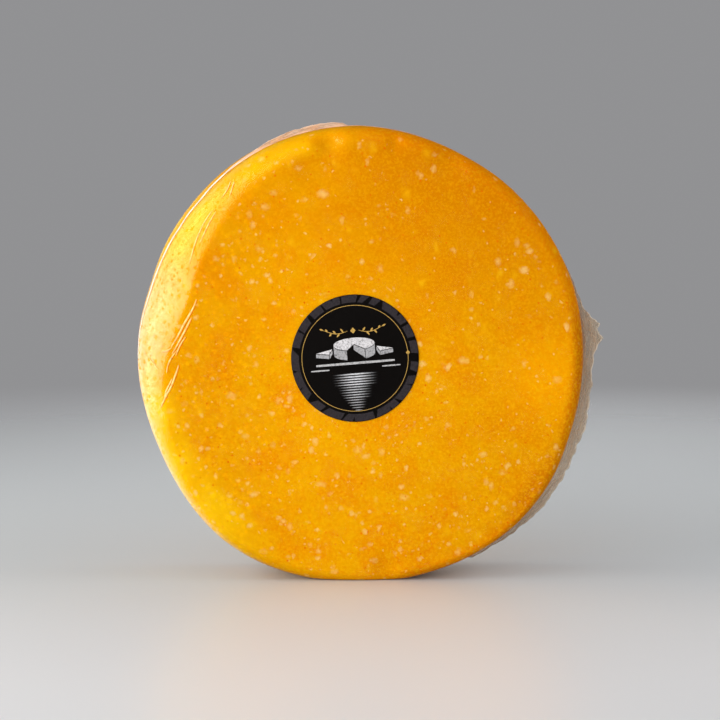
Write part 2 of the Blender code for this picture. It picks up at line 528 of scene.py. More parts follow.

# The rim's painted shade at the right and painted light at the left: fades along the named parts of a
# point's place
SHRINK = (-0.060, -0.025, 0.0050, 0.0)  # low down the orange rim is narrower
RIM_SHADE_MASK = {"shrunk": (0.1125, 0.1225), "across": (-0.05, 0.06), "back": (-0.010, -0.020, 0.15, 0.75)}
RIM_BROWNER_SHADE_MASK = {"across": (0.114, 0.1225), "up": (0.16, 0.13)}
RIM_BROWN_SHADE_MASK = {
    "radius": (0.1130, 0.1190),
    "across": (0.060, 0.095),
    "up": (0.165, 0.135, 0.0, 0.38),
    "back": (-0.010, -0.019, 0.12, 1.0),
}
# painted light on the rim at the left: where it lies, how patchy it is, and how far back it reaches
YELLOW_LOW = {"up": (0.125, 0.095), "across": (-0.035, -0.085), "radius": (0.1005, 0.1135, 0.0, 0.68)}
YELLOW_TOP = {"up": (0.170, 0.200), "across": (0.020, -0.045), "radius": (0.1090, 0.1175, 0.0, 0.42)}
YELLOW_PATCHES = (60.0, 2.0)
YELLOW_PATCH_FADE = (0.36, 0.60, 0.72, 1.08)
YELLOW_BACK = (0.006, -0.012)

# Grains: (turn in degrees, stretch), spacing, share of the cells, size, softness
FLECKS = (
    (((20, 35, 10), (0.8, 1.0, 1.1)), 0.0088, 0.36, 0.40, 0.90),
    (((0, 40, 25), (1.2, 1.0, 0.8)), 0.0068, 0.40, 0.42, 0.90),
    (((70, 10, 60), (0.9, 1.1, 1.0)), 0.0050, 0.47, 0.41, 0.90),
    (((15, 80, 30), (1.0, 1.0, 1.0)), 0.0031, 0.42, 0.38, 0.85),
)
FLECK_STRENGTHS = (0.68, 0.68, 0.68, 0.62)
FLECK_WARPS = ((420.0, 0.0024), (1100.0, 0.0010))  # features in a metre, and metres they push by
GHOSTS = (((50, 15, 75), (1.0, 1.0, 0.7)), 0.0085, 0.60, 0.45, 1.0)  # large soft flecks
GHOST_WARP = (200.0, 0.0060)
GHOST_STRENGTH = 0.75
SPECKS = (((33, 12, 50), (1, 1, 1)), 0.0030, 0.42, 0.30, 0.75)
SPARKLES = (((5, 62, 18), (1, 1, 1)), 0.0105, 0.12, 0.040, 0.5)
CURD_GRAIN = (700.0, 3.0, 0.65)
CURD_GRAIN_FADE = (0.42, 0.66)
CURD_GRAIN_UP = (0.10, 0.20, 0.45, 0.26)
CROWDING = (24.0, 2.0)
CROWDING_FADE = (0.34, 0.64, 0.45, 1.1)
CROWDING_UP = (0.06, 0.22, 1.0, 0.40)
FLECK_CROWDS = (  # where flecks crowd on the front: x, height, reach in metres, how many more
    (-0.058, 0.194, 0.046, 2.4),
    (-0.028, 0.060, 0.050, 0.9),
    (0.060, 0.070, 0.030, 0.5),
    (0.075, 0.125, 0.025, 0.5),
    (-0.078, 0.034, 0.022, 1.8),
    (-0.091, 0.058, 0.022, 1.4),
)
CROWD_SHARE = 0.5
CHEESE_BUMPS = (300.0, 3.0)
CHEESE_RELIEF = (0.12, 0.0003)  # strength, height
CHEESE_SURFACE = (0.48, 0.0)
CHEESE_DEPTH = 0.0025  # how far light travels in it, the share that does, and how far each colour
CHEESE_DEPTH_SHARE = 0.12
CHEESE_DEPTH_COLOURS = (1.0, 0.4, 0.05)


def wheel_parts(tree, place):
    """A place's parts by name: across, back, up, the radius from the wheel's axis, and shrunk,
    the radius that the orange rim goes by."""
    across, back, up = parts_of(tree, place)
    above = maths(tree, "SUBTRACT", up, CENTRE_HEIGHT)
    flat = node(tree, "ShaderNodeCombineXYZ", {0: across, 1: above}).outputs[0]
    radius = node(tree, "ShaderNodeVectorMath", {0: flat}, operation="LENGTH").outputs["Value"]
    shrunk = maths(tree, "SUBTRACT", radius, ramp(tree, above, *SHRINK))
    return {"across": across, "back": back, "up": up, "radius": radius, "shrunk": shrunk}


def mask(tree, parts, fades):
    """The product of fades, each along the part it is named after."""
    return product(tree, *(ramp(tree, parts[name], *fade) for name, fade in fades.items()))


def clouded_orange(tree, place, parts):
    """Orange with darker clouds and mottles, with painted shade towards the top and the right, and a painted
    pool of light inside the rim at the right.
    """
    mottles = ramp(tree, noise_value(tree, place, *MOTTLES), *MOTTLE_FADE)
    mottles = product(tree, mottles, ramp(tree, parts["up"], *MOTTLES_UP))
    shade = maths(tree, "ADD", ramp(tree, noise_value(tree, place, *CLOUDS), *CLOUD_FADE), mottles)
    colour = mix_colour(tree, shade, ORANGE, DEEP_ORANGE)
    # painted shade towards the top and the right
    higher = mask(tree, parts, {"up": SHADE_UP, "across": SHADE_UP_ACROSS})
    painted_shade = maths(tree, "ADD", higher, ramp(tree, parts["across"], *SHADE_ACROSS))
    colour = mix_colour(tree, painted_shade, colour, SHADE_ORANGE)
    # painted light: a brighter patch inside the rim at the right
    away = distance_from(tree, place, *SUNNY_PLACE)
    return mix_colour(tree, ramp(tree, away, *SUNNY_FADE), colour, SUNNY_ORANGE)


def with_rim(tree, place, parts, colour):
    """colour, with painted shade on the rim, deeper to the right and browner where it turns away, and
    painted light, yellow, at the left.
    """
    # painted shade on the rim at the right
    deeper_shade = mix_colour(tree, mask(tree, parts, RIM_BROWNER_SHADE_MASK), RIM_SHADE_ORANGE, RIM_SHADE_BROWN)
    colour = mix_colour(tree, mask(tree, parts, RIM_SHADE_MASK), colour, deeper_shade)
    colour = mix_colour(tree, mask(tree, parts, RIM_BROWN_SHADE_MASK), colour, RIM_SHADE_BROWN)
    # painted light, yellow, on the rim at the left
    patchy = ramp(tree, noise_value(tree, place, *YELLOW_PATCHES), *YELLOW_PATCH_FADE)
    glow = maths(tree, "MAXIMUM", mask(tree, parts, YELLOW_LOW), mask(tree, parts, YELLOW_TOP))
    glow = product(tree, glow, patchy, ramp(tree, parts["back"], *YELLOW_BACK))
    return mix_colour(tree, glow, colour, RIM_LIGHT_YELLOW)


def with_dents(tree, place, colour):
    """colour, with painted shade at the left of each dent."""
    for angle, distance, spread_over, depth in DENTS:
        x, height = dent_place(angle, distance)
        away = distance_from(tree, place, x - spread_over * DENT_SHADE_LEFT, height)
        reach = spread_over * DENT_SHADE_REACH
        shaded = ramp(tree, away, reach, 0.0, 0.0, max(depth, 0.0) * DENT_SHADE)
        colour = mix_colour(tree, shaded, colour, SHADE_ORANGE)
    return colour


def fleck_mask(tree, place, parts):
    """Pale curd flecks of four sizes, which crowd in places and thin out towards the top."""
    crowd = ramp(tree, noise_value(tree, place, *CROWDING), *CROWDING_FADE)
    crowd = product(tree, crowd, ramp(tree, parts["up"], *CROWDING_UP))
    for x, height, reach, more in FLECK_CROWDS:
        away = distance_from(tree, place, x, height)
        crowd = maths(tree, "ADD", crowd, ramp(tree, away, reach, 0.0, 0.0, more * CROWD_SHARE))
    for warp in FLECK_WARPS:
        place = warped(tree, place, *warp)
    flecks = 0.0
    for (stretch, cell, share, size, edge), strength in zip(FLECKS, FLECK_STRENGTHS):
        layer = scattered(tree, place, stretch, cell, product(tree, crowd, share), size, edge)
        flecks = maths(tree, "MAXIMUM", product(tree, layer, strength), flecks)
    return flecks


def cheese_material():
    """Orange cheese with pale curd flecks, red-brown specks and faint darker clouds, with painted shade,
    painted light and painted glints.
    """
    material, tree, output = new_material("cheese")
    place = object_place(tree)
    parts = wheel_parts(tree, place)
    colour = with_rim(tree, place, parts, clouded_orange(tree, place, parts))
    colour = with_dents(tree, place, colour)
    ghosts = scattered(tree, warped(tree, place, *GHOST_WARP), *GHOSTS)
    grain = ramp(tree, noise_value(tree, place, *CURD_GRAIN), *CURD_GRAIN_FADE)
    grain = product(tree, grain, ramp(tree, parts["up"], *CURD_GRAIN_UP))
    soft = maths(tree, "MAXIMUM", product(tree, ghosts, GHOST_STRENGTH), grain)
    colour = mix_colour(tree, soft, colour, SOFT_CURD)
    colour = mix_colour(tree, fleck_mask(tree, place, parts), colour, CURD)
    colour = mix_colour(tree, scattered(tree, place, *SPECKS), colour, SPECK)
    # painted glints
    colour = mix_colour(tree, scattered(tree, place, *SPARKLES), colour, SPARKLE)
    shader = principled(tree, colour, *CHEESE_SURFACE)
    bumps = relief(tree, noise_value(tree, place, *CHEESE_BUMPS), *CHEESE_RELIEF)
    tree.links.new(bumps, shader.inputs["Normal"])
    shader.inputs["Subsurface Weight"].default_value = CHEESE_DEPTH_SHARE
    shader.inputs["Subsurface Radius"].default_value = CHEESE_DEPTH_COLOURS
    shader.inputs["Subsurface Scale"].default_value = CHEESE_DEPTH
    tree.links.new(shader.outputs[0], output.inputs[0])
    return material


# ---------------------------------------------------------------- the film's materials

FILM_CLEAR = (0.99, 0.985, 0.98, 1)
FILM_BROWNED = (0.90, 0.83, 0.74, 1)  # the loose edge, which takes on the cheese's colour
TOP_FILM = (0.92, 0.64, 0.47, 1)  # and takes on more of it at the top
SHADED_FILM = (0.40, 0.27, 0.17, 1)  # painted shade on the loose edge close to the floor
LEFT_FILM = (0.93, 0.84, 0.76, 1)  # and rolled up at the left
ROOT_FILM = (0.64, 0.40, 0.22, 1)  # from its root to its free edge
LOOSE_FILM = (0.68, 0.57, 0.44, 1)
EDGE_FILM = (0.84, 0.75, 0.63, 1)
WHITE = (1, 1, 1, 1)
LOW_SHINE = (1.0, 0.95, 0.80, 1)  # what the tight film mirrors: paler below, warmer above
HIGH_SHINE = (1.0, 0.88, 0.26, 1)
SHINE_UP = (0.145, 0.190)
TIGHT_MILK = (0.9, 0.85, 0.75, 1)
FILM_IOR = 1.5

TIGHT_COARSE = (120.0, 2.0)
TIGHT_FINE = (620.0, 3.0, 0.6)
TIGHT_SHARES = (2.2, 0.8)  # of the coarse and fine bumps
TIGHT_RELIEF = (1.0, 0.00022)
TIGHT_ROUGHNESS = 0.25
TIGHT_MIRROR = 1.9
TIGHT_MIRROR_MOST = 0.34
TIGHT_MIRROR_ACROSS = (-0.085, -0.020, 1.0, 0.40)
TIGHT_HAZE = (0.45, 0.75, 0.0, 0.004)
DRY_DOTS = (((40, 20, 5), (1, 1, 1)), 0.0030, 0.85, 0.56, 0.3)  # spots that mirror less
DRY_WARP = (500.0, 0.0015)
DRY_SHARE = 0.85
WET_PATCHES = (260.0, 3.0, 0.6)
WET_PATCH_FADE = (0.48, 0.66, 1.0, 0.72)

PLEAT_NOISE = (110.0, 3.0, 0.6)
PLEAT_STRETCH = 8.0
LOOSE_RELIEF = (1.0, 0.0010)
LOOSE_ROUGHNESS = 0.20
LOOSE_MIRROR = 1.5
LOOSE_CLOUDY = (0.36, 0.62)
LOOSE_HAZE = (0.20, 0.55)
LOOSE_LEFT = (-0.050, -0.085)
LOOSE_LEFT_HAZE = 0.45
LOOSE_TOP = (0.195, 0.225)
LOOSE_TOP_HAZE = 0.15
LOOSE_SHADE = (0.050, 0.012, 0.0, 0.8)

CREASE_NOISE = (300.0, 2.0)
CREASE_FADE = (0.35, 0.60, 0.45, 1.0)
# painted shadow beside each crease: its noise, fade, colour and surface
FOLD_SHADOW_NOISE = (260.0, 2.0)
FOLD_SHADOW_FADE = (0.35, 0.60, 0.10, 0.60)
FOLD_SHADOW_ORANGE = (0.80, 0.27, 0.001, 1)
FOLD_SHADOW_SURFACE = (0.5, 0.1)


def film_shell(tree, output, mirror, normal, roughness, haze, milk, through=FILM_CLEAR, tint=WHITE):
    """Joins the film's parts: what it mirrors, and what shows through less a share of haze."""
    inputs = {"Color": tint, "Roughness": roughness, "Normal": normal}
    gloss = node(tree, "ShaderNodeBsdfGlossy", inputs)
    clear = node(tree, "ShaderNodeBsdfTransparent", {"Color": through})
    body = node(tree, "ShaderNodeMixShader", {0: haze, 1: clear.outputs[0], 2: milk})
    mix_shaders(tree, output, mirror, body, gloss)


def film_tight_material():
    """Clear film sucked onto the cheese: all but unseen where it doesn't catch the light."""
    material, tree, output = new_material("film_tight")
    place = object_place(tree)
    across, _, up = parts_of(tree, place)
    coarse = noise_value(tree, place, *TIGHT_COARSE)
    fine = noise_value(tree, place, *TIGHT_FINE)
    coarse_share, fine_share = TIGHT_SHARES
    height = maths(tree, "ADD", product(tree, coarse, coarse_share), product(tree, fine, fine_share))
    bumps = relief(tree, height, *TIGHT_RELIEF)
    fresnel = node(tree, "ShaderNodeFresnel", {"IOR": FILM_IOR}).outputs[0]
    mirror = maths(tree, "MINIMUM", product(tree, fresnel, TIGHT_MIRROR), TIGHT_MIRROR_MOST)
    dots = scattered(tree, warped(tree, place, *DRY_WARP), *DRY_DOTS)
    wet = maths(tree, "SUBTRACT", 1.0, product(tree, dots, DRY_SHARE))
    wet = product(tree, wet, ramp(tree, noise_value(tree, place, *WET_PATCHES), *WET_PATCH_FADE))
    mirror = product(tree, mirror, wet, ramp(tree, across, *TIGHT_MIRROR_ACROSS))
    shine = mix_colour(tree, ramp(tree, up, *SHINE_UP), LOW_SHINE, HIGH_SHINE)
    haze = ramp(tree, coarse, *TIGHT_HAZE)
    milk = node(tree, "ShaderNodeBsdfDiffuse", {"Color": TIGHT_MILK}).outputs[0]
    film_shell(tree, output, mirror, bumps, TIGHT_ROUGHNESS, haze, milk, tint=shine)
    return material


def rim_noise(tree, place):
    """Noise stretched along the rim, for the welded edge's creases."""
    across, back, up = parts_of(tree, place)
    above = maths(tree, "SUBTRACT", up, CENTRE_HEIGHT)
    squares = maths(tree, "ADD", product(tree, across, across), product(tree, above, above))
    radius = maths(tree, "POWER", squares, 0.5)
    along = product(tree, maths(tree, "ARCTAN2", above, across), WHEEL_RADIUS)
    inputs = {0: product(tree, radius, PLEAT_STRETCH), 1: along, 2: back}
    unrolled = node(tree, "ShaderNodeCombineXYZ", inputs).outputs[0]
    return noise_value(tree, unrolled, *PLEAT_NOISE)


def film_loose_material(name, tint, more):
    """The welded edge: two films together, cloudy, and creased along the rim. At the left, where
    it is rolled up, it is nearly white. more is added to how cloudy it is."""
    material, tree, output = new_material(name)
    place = object_place(tree)
    across, _, up = parts_of(tree, place)
    pleats = rim_noise(tree, place)
    bumps = relief(tree, pleats, *LOOSE_RELIEF)
    fresnel = node(tree, "ShaderNodeFresnel", {"IOR": FILM_IOR}).outputs[0]
    mirror = maths(tree, "MULTIPLY", fresnel, LOOSE_MIRROR, clamp=True)
    left = ramp(tree, across, *LOOSE_LEFT)
    haze = ramp(tree, pleats, *LOOSE_CLOUDY, *(share + more for share in LOOSE_HAZE))
    haze = maths(tree, "ADD", haze, product(tree, left, LOOSE_LEFT_HAZE), clamp=True)
    haze = maths(tree, "ADD", haze, ramp(tree, up, *LOOSE_TOP, 0.0, LOOSE_TOP_HAZE), clamp=True)
    colour = mix_colour(tree, ramp(tree, up, *LOOSE_TOP), tint, TOP_FILM)
    # painted shade near the floor
    colour = mix_colour(tree, ramp(tree, up, *LOOSE_SHADE), colour, SHADED_FILM)
    colour = mix_colour(tree, left, colour, LEFT_FILM)
    milk = node(tree, "ShaderNodeBsdfDiffuse", {"Color": colour}).outputs[0]
    film_shell(tree, output, mirror, bumps, LOOSE_ROUGHNESS, haze, milk, FILM_BROWNED)
    return material


def crease_material(name, colour, opacity):
    """Film gathered into a fine fold, a little whiter than the rest."""
    material, tree, output = new_material(name)
    uneven = ramp(tree, noise_value(tree, object_place(tree), *CREASE_NOISE), *CREASE_FADE)
    milk = node(tree, "ShaderNodeBsdfDiffuse", {"Color": colour})
    clear = node(tree, "ShaderNodeBsdfTransparent")
    mix_shaders(tree, output, product(tree, uneven, opacity), clear, milk)
    return material


def fold_shadow_material():
    """Painted shadow: the deep orange line beside a crease, standing in for the crease's shade on the
    cheese.
    """
    material, tree, output = new_material("film_fold_shadow")
    uneven = ramp(tree, noise_value(tree, object_place(tree), *FOLD_SHADOW_NOISE), *FOLD_SHADOW_FADE)
    clear = node(tree, "ShaderNodeBsdfTransparent")
    mix_shaders(tree, output, uneven, clear, principled(tree, FOLD_SHADOW_ORANGE, *FOLD_SHADOW_SURFACE))
    return material


# ---------------------------------------------------------------- the label's materials

LABEL_BLACK = (0.0036, 0.0027, 0.0025, 1)
LABEL_SURFACE = (0.42, 0.3)
INK_SURFACE = (0.5, 0.2)
INK_GRAIN = (1600.0, 2.0)
INK_GRAIN_FADE = (0.40, 0.70)
INK_DARKER = 0.7  # how bright the darker grains are
WEAR_GRAIN = (650.0, 4.0, 0.7)
WEAR_FADE = (0.52, 0.62)


def print_material(name, colour, wear=0.0, fade=None):
    """Ink on the label, a little uneven. Wear rubs it through in spots, and fade, as (near, far)
    distances to the sides of the label's middle in metres, thins it out to black."""
    material, tree, output = new_material(name)
    place = object_place(tree)
    dark = tuple(value * INK_DARKER for value in colour[:3]) + (1,)
    grain = noise_value(tree, place, *INK_GRAIN)
    shown = mix_colour(tree, ramp(tree, grain, *INK_GRAIN_FADE), colour, dark)
    if wear:
        worn = ramp(tree, noise_value(tree, place, *WEAR_GRAIN), *WEAR_FADE, 0.0, wear)
        shown = mix_colour(tree, worn, shown, LABEL_BLACK)
    if fade:
        aside = maths(tree, "ABSOLUTE", maths(tree, "SUBTRACT", parts_of(tree, place)[0], LABEL_X))
        shown = mix_colour(tree, ramp(tree, aside, *fade), shown, LABEL_BLACK)
    tree.links.new(principled(tree, shown, *INK_SURFACE).outputs[0], output.inputs[0])
    return material


def label_material():
    """Black satin paper."""
    material, tree, output = new_material("label")
    shader = principled(tree, LABEL_BLACK, *LABEL_SURFACE)
    tree.links.new(shader.outputs[0], output.inputs[0])
    return material


# ---------------------------------------------------------------- the cheese

CHEESE_AROUND = 480
CHEESE_ROWS = (
    spread(0, 1, 40) + spread(1, 2, 22) + spread(2, 3, 14) + spread(3, 4, 14) + spread(4, 5, 24)[:-1]
)


def build_cheese():
    """The cheese, a hair inside the film."""
    angles = [360 * step / CHEESE_AROUND for step in range(CHEESE_AROUND)]
    rings = [[skin(angle, row, -FILM_OVER_CHEESE) for angle in angles] for row in CHEESE_ROWS]
    front = skin(0, 0, -FILM_OVER_CHEESE)
    back = skin(0, 5, -FILM_OVER_CHEESE)
    cheese = ring_surface("cheese_wheel", rings, front, back, [cheese_material()])
    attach(cheese, "root")
    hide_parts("cheese")


# ---------------------------------------------------------------- the film

FILM_AROUND = 720
FIN_STEPS = 12
FILM_FRONT = spread(0, 1, 34) + spread(1, 2, 24)
BEFORE_SEAM = spread(0, 0.88, 6)  # shares of the way over the side to the seam
BEHIND_SEAM = spread(0.04, 1, 9)  # and from the seam on
FILM_BACK = spread(3, 4, 14) + spread(4, 5, 18)[:-1]
ROOT_ENDS = 0.24  # the welded edge's root, and its loose part, of its width
LOOSE_ENDS = 0.85
FILM_EDGES = (  # the welded edge's materials outwards: name, colour, how much cloudier
    ("film_root", ROOT_FILM, 0.08),
    ("film_loose", LOOSE_FILM, -0.04),
    ("film_edge", EDGE_FILM, 0.20),
)


def noise_at(place, size, strength):
    """Noise of this strength with swings of this size."""
    return strength * noise.noise(place / size)


def fin_width(angle):
    """How far the welded edge stands off at this angle."""
    first = FIN_WIDTHS[0][0]
    turn = (angle - first) % 360 + first
    width = FIN_WIDTHS[-1][1]
    for (start, narrow), (end, wide) in zip(FIN_WIDTHS, FIN_WIDTHS[1:]):
        if start <= turn < end:
            width = narrow + (wide - narrow) * smooth_step((turn - start) / (end - start))
    for at, height in FIN_SPIKES:
        width += height * max(0.0, 1 - abs(turn - at) / SPIKE_REACH)
    place = around_rim(angle)
    return width * (RAGGED + abs(noise_at(place, *RAGGED_COARSE)) + noise_at(place, *RAGGED_FINE))


def bead(angle):
    """How far the weld is rolled up at this angle, 0 to 1."""
    return smooth_step((angle - BEAD_FROM) / BEAD_FADE) * smooth_step((BEAD_TO - angle) / BEAD_FADE)


def seam_row(angle):
    """The row of the side where the seam runs."""
    depth = front_edge(angle)[1]
    seam = SEAM_SHARE * THICKNESS + sum(noise_at(around_rim(angle), *swing) for swing in SEAM_WAVER)
    return 2 + (seam - depth) / (THICKNESS - depth - EDGE_DEPTH)


def sway(angle, reach):
    """How far the welded edge sways forwards at this distance from the seam."""
    place = around_rim(angle)
    swayed = 0.0
    for size, strength, along, outwards in (PUCKERS, PLEATS):
        swayed += noise_at(Vector((place.x * along, place.y * along, reach * outwards)), size, strength)
    return swayed * smooth_step(reach / SWAY_FULL_AT)


def fin_point(angle, share, side):
    """A point of the welded edge: share 0 at the seam, 1 at its free edge. side is 1 in front and
    -1 behind."""
    turn = math.radians(angle)
    out = Vector((math.cos(turn), 0, math.sin(turn)))
    face = Vector((0, -1, 0))
    reach = share * fin_width(angle)
    rolled = BEAD_HALF * bead(angle % 360) * math.sqrt(1 - BEAD_TAPER * share * share)
    half = FIN_THICKNESS / 2 + rolled
    point = skin(angle, seam_row(angle)) + out * reach + face * (sway(angle, reach) + side * half)
    return Vector((point.x, point.y, on_floor(point.z)))


def film_rings():
    """The film's rings of points from the front's middle to the back's, and each one's material."""
    angles = [360 * step / FILM_AROUND for step in range(FILM_AROUND)]
    rings = [[skin(angle, row) for angle in angles] for row in FILM_FRONT]
    for share in BEFORE_SEAM:
        rings.append([skin(angle, 2 + (seam_row(angle) - 2) * share) for angle in angles])
    slots = [0] * len(rings)
    for side in (1, -1):
        shares = [0.0] + spread(0, 1, FIN_STEPS)
        for share in shares if side > 0 else reversed(shares):
            rings.append([fin_point(angle, share, side) for angle in angles])
            inner = share if side > 0 else share - 1 / FIN_STEPS
            slots.append(1 if inner < ROOT_ENDS else 2 if inner < LOOSE_ENDS else 3)
    slots[-1] = 0
    for share in BEHIND_SEAM:
        rings.append([skin(angle, seam_row(angle) + (3 - seam_row(angle)) * share) for angle in angles])
    rings += [[skin(angle, row) for angle in angles] for row in FILM_BACK]
    return rings, slots + [0] * (len(rings) - len(slots))


def build_film():
    """The tight clear bag with its welded edge."""
    rings, slots = film_rings()
    materials = [film_tight_material()] + [film_loose_material(*edge) for edge in FILM_EDGES]
    film = ring_surface("film", rings, skin(0, 0), skin(0, 5), materials, slots)
    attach(film, "root")
    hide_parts("film_fringe")


# ---------------------------------------------------------------- creases in the film

LEFT_CREASES = (  # on the front, from the wheel's middle in millimetres: path, width, height
    (((-90.0, 31.0), (-92.2, 25.5), (-96.5, 18.0), (-100.5, 10.5), (-104.3, 4.6)), 1.05, 0.22),
    (((-92.8, 21.0), (-95.0, 16.5), (-99.2, 8.5), (-103.5, 1.0)), 0.95, 0.20),
    (((-96.0, 10.5), (-99.0, 6.0), (-101.5, 0.0)), 0.60, 0.13),
    (((-101.0, 3.0), (-105.0, -3.0), (-107.0, -9.5)), 0.55, 0.13),
    (((-100.0, -5.0), (-101.2, -9.0), (-104.5, -17.5), (-107.8, -23.0), (-110.6, -28.5)), 1.00, 0.20),
    (((-103.5, -12.5), (-106.5, -18.5), (-108.5, -23.0)), 0.80, 0.16),
    (((-104.0, 4.5), (-107.0, 2.8), (-110.0, 2.4)), 0.50, 0.11),
    (((-117.0, -1.5), (-114.5, -4.5), (-111.5, -8.5)), 0.55, 0.13),
    (((-115.0, -2.0), (-112.5, -6.5)), 0.45, 0.10),
    (((-69.5, 95.0), (-70.6, 91.5), (-72.0, 86.8)), 0.70, 0.18),
    (((-71.5, 95.0), (-73.0, 91.0), (-76.5, 86.0)), 0.60, 0.14),
    (((-81.5, 79.5), (-86.5, 72.0), (-91.0, 62.0), (-94.5, 50.0)), 0.70, 0.11),
    (((-79.5, 79.0), (-84.0, 71.5), (-88.5, 62.0)), 0.60, 0.09),
)
FOLD_SHADOW_SHIFT = 0.00062  # each has a painted shadow line this far to its right, the crease's shade on the cheese
FIN_FOLDS = (  # strands along the welded edge: (angle, share of its width) places, width in metres
    (((11.5, 0.85), (8.0, 0.62), (4.5, 0.60), (1.0, 0.78)), 0.0006),
    (((9.0, 0.30), (5.0, 0.22), (0.0, 0.34), (-6.0, 0.62)), 0.0005),
    (((4.0, 0.92), (2.0, 0.70), (-1.0, 0.55), (-7.0, 0.50), (-13.0, 0.66)), 0.0006),
    (((-2.0, 0.12), (-8.0, 0.20), (-15.0, 0.42), (-22.0, 0.40)), 0.0006),
    (((-9.0, 0.80), (-14.0, 0.86), (-20.0, 0.66), (-27.0, 0.72)), 0.0005),
    (((-18.0, 0.15), (-26.0, 0.30), (-33.0, 0.22), (-40.0, 0.50)), 0.0006),
    (((-30.0, 0.85), (-38.0, 0.60), (-47.0, 0.75)), 0.0005),
    (((-36.0, 0.28), (-45.0, 0.35), (-54.0, 0.30)), 0.0005),
)
FOLD_SHADOW_WIDTH = 0.9  # and is this wide and high, of the crease
FOLD_SHADOW_HEIGHT = 0.45
STRAND_HEIGHT = 0.5  # of its width
FAINT_HEIGHT = 0.2
RIDGE_SINK = 0.00004  # how far a ridge's sides and its middle lie under the film
RIDGE_ROOT = 0.00016
CREASE_SEED = 5
RIM_CREASES = 44
RIM_CREASE_ANGLES = (-55, 235)
RIM_CREASE_START = 0.06  # rows off the seam
RIM_CREASE_LENGTHS = (0.12, 0.45)  # in rows
RIM_CREASE_SWAYS = (-1.6, 1.6)  # in degrees
RIM_CREASE_WIDTHS = (0.0005, 0.0010)
BACK_CREASES = 12
BACK_CREASE_ANGLES = (-60, 240)
BACK_CREASE_ROWS = (3.6, 4.25)
BACK_CREASE_TURNS = (-10, 10)
BACK_CREASE_DRIFTS = (-0.12, 0.12)
BACK_CREASE_WIDTHS = (0.0006, 0.0012)
CREASE_PALE = (1.0, 0.74, 0.30, 1)
CREASE_FAINT = (0.96, 0.52, 0.08, 1)
CREASE_BEIGE = (0.72, 0.63, 0.50, 1)


def on_skin(angle, row):
    """(point, outward direction) of the film there."""
    point = skin(angle, row)
    return point, (skin(angle, row, 0.001) - point).normalized()


def on_fin(angle, share):
    """(point, outward direction) of the front of the welded edge."""
    return fin_point(angle, share, 1), Vector((0, -1, 0))


def ridge(places, width, height, shift=0.0):
    """A low ridge along (point, outward direction) places, pointed at its ends and moved sideways
    by shift: rings of four points."""
    rings = []
    count = len(places)
    for index, (centre, up) in enumerate(places):
        way = (places[min(index + 1, count - 1)][0] - places[max(index - 1, 0)][0]).normalized()
        aside = way.cross(up).normalized()
        share = math.sin(math.pi * (0.02 + 0.96 * index / (count - 1))) ** 0.6
        centre = centre + aside * shift
        rings.append([
            centre - aside * width / 2 * share - up * RIDGE_SINK,
            centre + up * height * share,
            centre + aside * width / 2 * share - up * RIDGE_SINK,
            centre - up * RIDGE_ROOT,
        ])
    return rings


def add_ridges(name, ridges, material):
    """Ridges, each of rings of four points, as one mesh that casts no shadow."""
    points = []
    faces = []
    for rings in ridges:
        first = len(points)
        for ring in rings:
            points += ring
        for index in range(len(rings) - 1):
            here, there = first + 4 * index, first + 4 * index + 4
            for step in range(4):
                beside = (step + 1) % 4
                faces.append((here + step, here + beside, there + beside, there + step))
        end = first + 4 * (len(rings) - 1)
        faces.append((first + 3, first + 2, first + 1, first))
        faces.append((end, end + 1, end + 2, end + 3))
    wrinkle = add_mesh(name, points, faces, [material])
    wrinkle.visible_shadow = False
    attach(wrinkle, "root")


def smooth_path(corners, steps):
    """Points evenly along a path through its corners, rounded by Catmull-Rom."""
    found = []
    last = len(corners) - 1
    for step in range(steps + 1):
        at = last * step / steps
        index = min(int(at), last - 1)
        t = at - index
        a, b, c, d = (corners[min(max(index + near, 0), last)] for near in (-1, 0, 1, 2))
        found.append(tuple(
            0.5 * (2 * q + (r - p) * t + (2 * p - 5 * q + 4 * r - s) * t * t
                   + (3 * q - p - 3 * r + s) * t ** 3)
            for p, q, r, s in zip(a, b, c, d)))
    return found


def left_ridges():
    """(creases, the painted shadow lines beside them) down the left of the front."""
    creases = []
    fold_shadows = []
    for corners, width, height in LEFT_CREASES:
        path = smooth_path(corners, 10 * len(corners))
        places = [on_skin(*front_place(x * MM, z * MM)) for x, z in path]
        wide, high = width * MM, height * MM
        creases.append(ridge(places, wide, high))
        fold_shadows.append(ridge(places, wide * FOLD_SHADOW_WIDTH, high * FOLD_SHADOW_HEIGHT, -FOLD_SHADOW_SHIFT))
    return creases, fold_shadows


def strand_ridges():
    """Strands along the welded edge."""
    strands = []
    for corners, width in FIN_FOLDS:
        places = [on_fin(*place) for place in smooth_path(corners, 12 * len(corners))]
        strands.append(ridge(places, width, width * STRAND_HEIGHT))
    return strands


def faint_ridge(corners, steps, width):
    """A faint crease over the skin through (angle, row) corners."""
    places = [on_skin(*place) for place in smooth_path(corners, steps)]
    return ridge(places, width, width * FAINT_HEIGHT)


def rim_ridges(dice):
    """Short creases across the rim, on both sides of the seam."""
    creases = []
    for _ in range(RIM_CREASES):
        angle = dice.uniform(*RIM_CREASE_ANGLES)
        side = 1 if dice.random() < 0.5 else -1
        start = seam_row(angle) + RIM_CREASE_START * side
        far = start + dice.uniform(*RIM_CREASE_LENGTHS) * side
        swing = dice.uniform(*RIM_CREASE_SWAYS)
        corners = ((angle, start), (angle + swing * 0.2, (start + far) / 2), (angle + swing, far))
        creases.append(faint_ridge(corners, 10, dice.uniform(*RIM_CREASE_WIDTHS)))
    return creases


